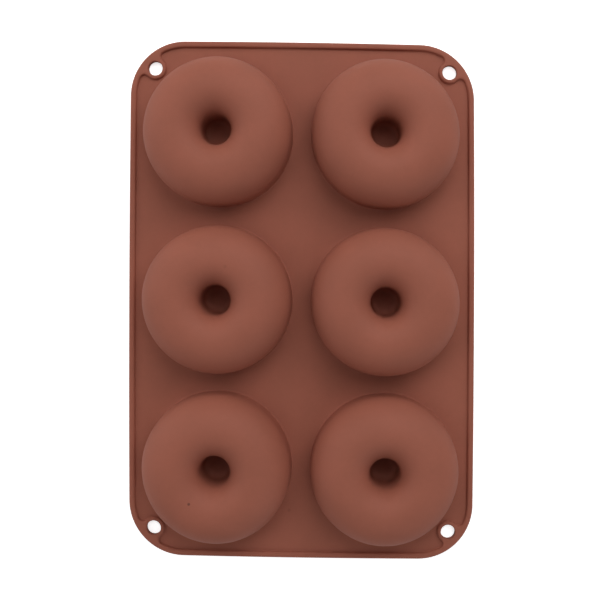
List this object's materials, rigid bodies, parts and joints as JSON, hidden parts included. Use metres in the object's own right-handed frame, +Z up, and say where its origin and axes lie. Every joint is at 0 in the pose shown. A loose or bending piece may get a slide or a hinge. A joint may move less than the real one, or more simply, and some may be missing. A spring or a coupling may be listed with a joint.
{
  "type": "silicone doughnut mould",
  "caption": "Soft silicone doughnut mould: a flat sheet with a raised edge bead, ring-shaped domes with closed centre hollows, and a hanging hole in each rounded corner.",
  "frame": {"origin": "middle of the open face, which the mould lies on", "axes": "+X across the two columns, +Y along the three rows, +Z up through the domes"},
  "size_m": [0.175, 0.2612, 0.028],
  "materials": {
    "silicone": "matte brown moulded silicone with a fine soft bloom"
  },
  "bodies": {
    "root": {"doughnut_mould": "silicone"}
  },
  "joints": []
}
